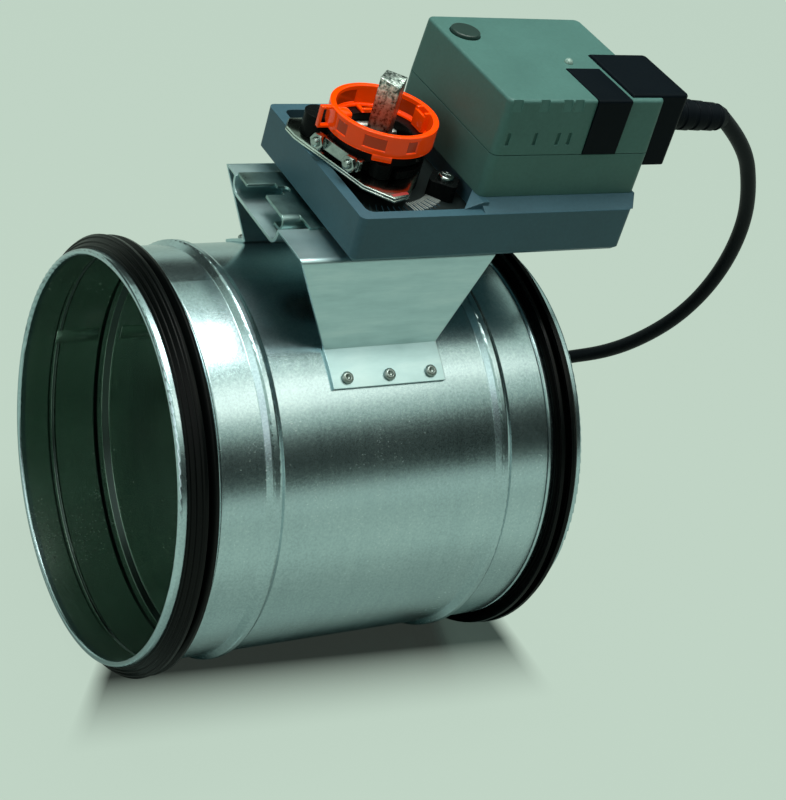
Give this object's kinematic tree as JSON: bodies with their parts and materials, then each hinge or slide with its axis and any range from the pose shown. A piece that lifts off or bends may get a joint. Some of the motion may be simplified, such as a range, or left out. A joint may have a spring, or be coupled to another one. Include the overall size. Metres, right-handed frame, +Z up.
{
  "type": "round shut-off damper with electric actuator",
  "caption": "Round airtight duct damper: a sealed blade on a square shaft in a rolled casing, turned by a rotary electric actuator on a folded bracket, with its cable.",
  "frame": {"origin": "centre of the inlet mouth, on the duct's axis", "axes": "+X along the duct from inlet to outlet, +Z up the blade's shaft towards the actuator"},
  "size_m": [0.2938, 0.2191, 0.2579],
  "materials": {
    "galvanised_sheet": "rolled galvanised sheet, glossy",
    "seal_rubber": "satin EPDM rubber",
    "bright_steel": "zinc plated",
    "shaft_steel": "drawn bar",
    "black_plastic": "satin moulding",
    "white_plastic": "satin moulding",
    "bracket_sheet": "folded galvanised sheet, brushed look",
    "strap_sheet": "dark plated sheet",
    "base_plastic": "fine texture",
    "housing_plastic": "fine texture",
    "button_plastic": "satin",
    "lens_plastic": "clear light pipe",
    "board": "coated board",
    "boot_rubber": "satin rubber",
    "cable_jacket": "satin jacket",
    "wire_metal": "tinned ferrules on short wires",
    "jaw_metal": "sintered, light grey",
    "orange_plastic": "clear orange moulding",
    "gear_plastic": "natural acetal"
  },
  "bodies": {
    "duct_unit": {"casing": "galvanised_sheet", "seal_inlet": "seal_rubber", "seal_outlet": "seal_rubber", "bearing_collar_upper": "white_plastic", "bearing_collar_lower": "white_plastic", "collar_retainers": "bright_steel", "bracket": "bracket_sheet", "anti_rotation_strap": "strap_sheet", "bracket_screws": "bright_steel", "mounting_pad": "black_plastic", "actuator_base": "base_plastic", "housing_lower": "housing_plastic", "housing_cover": "housing_plastic", "plug_cap": "black_plastic", "side_cover": "black_plastic", "status_lens": "lens_plastic", "circuit_board": "board", "cable_boot": "boot_rubber", "cable": "cable_jacket", "cable_coil": "cable_jacket", "cable_tie": "black_plastic", "wire_ends": "wire_metal", "end_stop": "black_plastic", "end_stop_screw": "bright_steel", "motor": "bright_steel", "gear_plate": "bright_steel", "gear_axles": "bright_steel"},
    "blade_unit": {"blade_disc_inlet": "galvanised_sheet", "blade_disc_outlet": "galvanised_sheet", "blade_seal": "seal_rubber", "blade_rivets": "bright_steel", "damper_shaft": "shaft_steel", "bush_upper": "black_plastic", "bush_lower": "black_plastic", "shaft_rings": "seal_rubber", "output_hub": "black_plastic", "clamp_jaws": "jaw_metal", "clamp_u_bolt": "bright_steel", "clamp_yoke": "bright_steel", "clamp_nuts": "bright_steel", "pointer_plate": "bright_steel", "position_ring": "orange_plastic", "output_gear": "gear_plastic"},
    "first_gear_unit": {"first_gear": "gear_plastic"},
    "second_gear_unit": {"second_gear": "gear_plastic"},
    "rotor_unit": {"motor_rotor": "bright_steel"},
    "button_unit": {"release_button": "button_plastic"}
  },
  "joints": [
    {"name": "blade_turn", "type": "hinge", "parent": "duct_unit", "child": "blade_unit", "pos_m": [0.086, 0, 0], "axis": [0, 0, -1], "range_deg": [0, 90]},
    {"name": "first_gear_spin", "type": "hinge", "parent": "duct_unit", "child": "first_gear_unit", "pos_m": [0.11168, 0, 0.115], "axis": [0, 0, -1], "range_deg": [-270, 0]},
    {"name": "second_gear_spin", "type": "hinge", "parent": "duct_unit", "child": "second_gear_unit", "pos_m": [0.13096, 0, 0.115], "axis": [0, 0, -1], "range_deg": [0, 540]},
    {"name": "rotor_spin", "type": "hinge", "parent": "duct_unit", "child": "rotor_unit", "pos_m": [0.15024, 0, 0.115], "axis": [0, 0, -1], "range_deg": [-1080, 0]},
    {"name": "button_press", "type": "slide", "parent": "duct_unit", "child": "button_unit", "axis": [0, 0, -1], "range_m": [0, 0.003], "stiffness_N_per_m": 300, "springref_m": -0.001}
  ],
  "couplings": [
    {"joint": "first_gear_spin", "follows": "blade_turn", "ratio": -3},
    {"joint": "second_gear_spin", "follows": "blade_turn", "ratio": 6},
    {"joint": "rotor_spin", "follows": "blade_turn", "ratio": -12}
  ]
}
